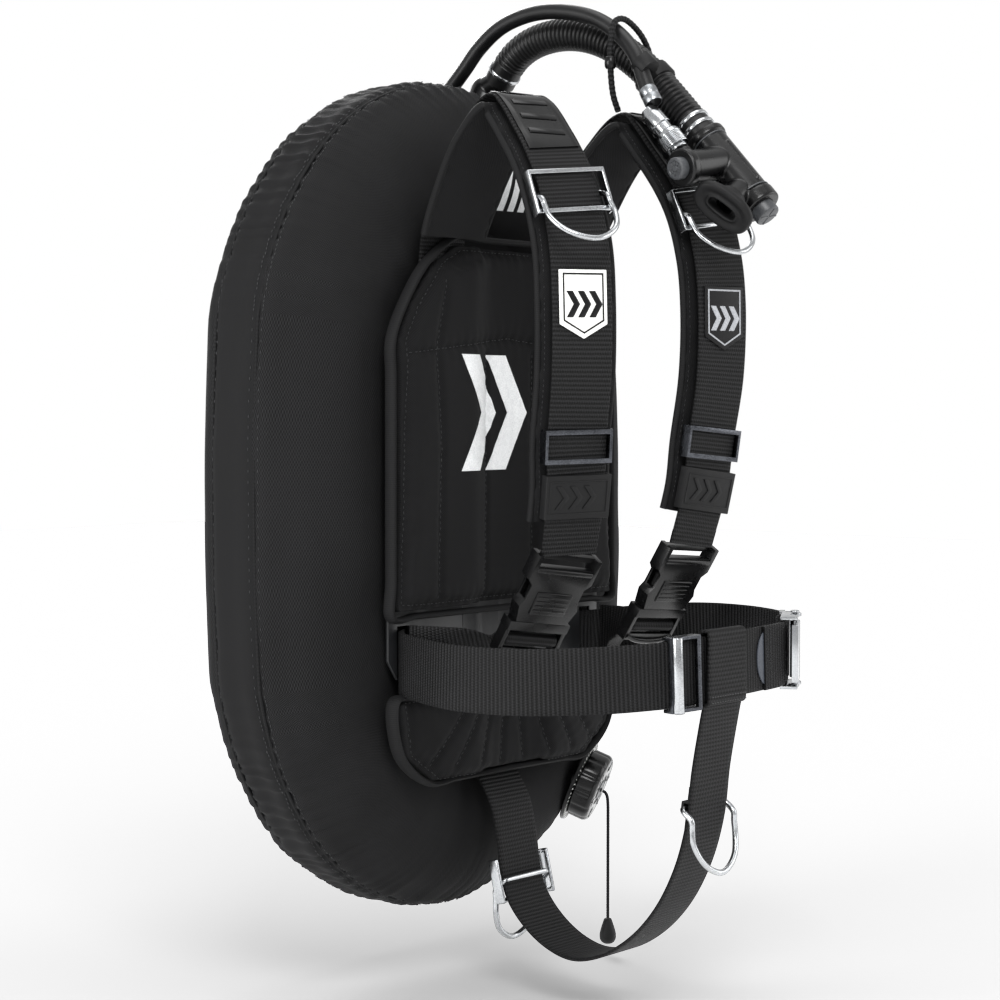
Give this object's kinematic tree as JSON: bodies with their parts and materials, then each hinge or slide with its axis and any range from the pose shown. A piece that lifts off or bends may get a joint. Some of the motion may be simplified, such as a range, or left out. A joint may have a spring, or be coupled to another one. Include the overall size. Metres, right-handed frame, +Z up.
{
  "type": "buoyancy compensator vest",
  "caption": "Back-plate diving harness with an inflated ring-shaped wing, padded shoulder straps, waist and crotch straps, inflator hose and dump valve.",
  "frame": {"origin": "middle of the tank face: the rear face of the wing's centre panel, half way between the two plate bolt rows", "axes": "+Z up the wearer's back; +Y backwards, away from the wearer, towards the tank; +X towards the wearer's left"},
  "size_m": [0.4504, 0.421, 0.8147],
  "materials": {
    "cordura": "coarse woven nylon, matt",
    "bladder_film": "coated film, semi-matt",
    "padding": "padded nylon, matt",
    "webbing": "ribbed woven webbing, matt",
    "plate_coat": "powder coat, satin",
    "gunmetal": "dark plated steel, satin",
    "stainless": "brushed stainless steel",
    "steel_wire": "drawn spring wire",
    "bright_steel": "polished stainless steel",
    "soft_rubber": "moulded rubber, matt",
    "hose_rubber": "moulded rubber, satin",
    "elastic_cord": "braided cord",
    "black_plastic": "moulded plastic, satin",
    "grey_plastic": "moulded plastic, matt"
  },
  "bodies": {
    "harness": {"dump_valve_base": "black_plastic", "dump_valve_cap": "black_plastic", "dump_valve_seal": "soft_rubber", "dump_valve_spring": "steel_wire", "inflator_body": "black_plastic", "inflate_spring": "steel_wire", "deflate_spring": "steel_wire", "mouthpiece": "soft_rubber", "connector_body": "bright_steel", "wing_shell": "cordura", "air_bladder": "bladder_film", "wing_centre_panel": "cordura", "back_plate": "plate_coat", "upper_book_screw": "stainless", "upper_book_nut": "stainless", "lower_book_screw": "stainless", "lower_book_nut": "stainless", "right_shoulder_webbing": "webbing", "right_shoulder_pad": "padding", "right_ring_slide": "bright_steel", "right_strap_slide": "gunmetal", "right_strap_keeper": "soft_rubber", "right_buckle_socket": "black_plastic", "right_lower_strap": "webbing", "left_shoulder_webbing": "webbing", "left_shoulder_pad": "padding", "left_ring_slide": "bright_steel", "left_strap_slide": "gunmetal", "left_strap_keeper": "soft_rubber", "left_buckle_socket": "black_plastic", "left_lower_strap": "webbing", "back_pad": "padding", "lumbar_pad": "padding", "right_waist_belt": "webbing", "waist_buckle_pin": "bright_steel", "left_waist_belt": "webbing", "waist_buckle_frame": "bright_steel", "belt_slide": "gunmetal", "crotch_strap": "webbing", "rear_ring_slide": "bright_steel", "front_ring_loop": "webbing", "wing_elbow": "black_plastic", "inflator_hose": "hose_rubber", "low_pressure_hose": "hose_rubber", "hose_bungee": "elastic_cord", "tank_end_fitting": "bright_steel", "hose_clip": "soft_rubber"},
    "right_ring": {"right_chest_ring": "bright_steel"},
    "left_ring": {"left_chest_ring": "bright_steel"},
    "rear_ring": {"rear_crotch_ring": "bright_steel"},
    "front_ring": {"front_crotch_ring": "bright_steel"},
    "buckle_lever": {"waist_buckle_lever": "bright_steel"},
    "right_plug": {"right_buckle_plug": "black_plastic"},
    "left_plug": {"left_buckle_plug": "black_plastic"},
    "inflate": {"inflate_button": "grey_plastic"},
    "deflate": {"deflate_button": "grey_plastic"},
    "lock_sleeve": {"connector_sleeve": "bright_steel"},
    "poppet": {"dump_valve_poppet": "black_plastic"},
    "pull": {"dump_pull_cord": "elastic_cord", "dump_pull_knob": "soft_rubber"}
  },
  "joints": [
    {"name": "right_chest_ring_swing", "type": "hinge", "parent": "harness", "child": "right_ring", "pos_m": [-0.08876, -0.16674, 0.23663], "axis": [-0.9224, 0.376, -0.0881], "range_deg": [0, 95]},
    {"name": "left_chest_ring_swing", "type": "hinge", "parent": "harness", "child": "left_ring", "pos_m": [0.09148, -0.16649, 0.23671], "axis": [-0.9681, 0.2051, -0.1441], "range_deg": [0, 20]},
    {"name": "rear_crotch_ring_swing", "type": "hinge", "parent": "harness", "child": "rear_ring", "pos_m": [0, -0.05447, -0.31287], "axis": [1, 0, 0], "range_deg": [0, 60]},
    {"name": "front_crotch_ring_swing", "type": "hinge", "parent": "harness", "child": "front_ring", "pos_m": [0, -0.23234, -0.23362], "axis": [-1, 0, 0], "range_deg": [0, 110]},
    {"name": "waist_lever_swing", "type": "hinge", "parent": "harness", "child": "buckle_lever", "pos_m": [0.1122, -0.2443, -0.12004], "axis": [-0.0267, -0.0156, 0.9995], "range_deg": [0, 100]},
    {"name": "right_plug_slide", "type": "slide", "parent": "harness", "child": "right_plug", "axis": [0.0153, 0.5189, -0.8547], "range_m": [0, 0.034], "deforming": ["right_lower_strap"]},
    {"name": "left_plug_slide", "type": "slide", "parent": "harness", "child": "left_plug", "axis": [-0.0153, 0.5189, -0.8547], "range_m": [0, 0.034], "deforming": ["left_lower_strap"]},
    {"name": "inflate_press", "type": "slide", "parent": "harness", "child": "inflate", "axis": [0.9823, -0.1108, 0.1507], "range_m": [0, 0.004], "stiffness_N_per_m": 500, "springref_m": -0.002, "deforming": ["inflate_spring"]},
    {"name": "deflate_press", "type": "slide", "parent": "harness", "child": "deflate", "axis": [-0.0383, 0.6698, 0.7416], "range_m": [0, 0.005], "stiffness_N_per_m": 500, "springref_m": -0.002, "deforming": ["deflate_spring"]},
    {"name": "lock_sleeve_slide", "type": "slide", "parent": "harness", "child": "lock_sleeve", "axis": [-0.0383, 0.6698, 0.7416], "range_m": [0, 0.005], "stiffness_N_per_m": 800, "springref_m": -0.002},
    {"name": "poppet_lift", "type": "slide", "parent": "harness", "child": "poppet", "axis": [0.4166, -0.8257, -0.3804], "range_m": [0, 0.003], "stiffness_N_per_m": 800, "springref_m": -0.003, "deforming": ["dump_valve_spring"]},
    {"name": "dump_pull_swing", "type": "hinge", "parent": "poppet", "child": "pull", "pos_m": [0.14177, -0.02572, -0.26379], "axis": [0, 1, 0], "range_deg": [-45, 45]}
  ]
}
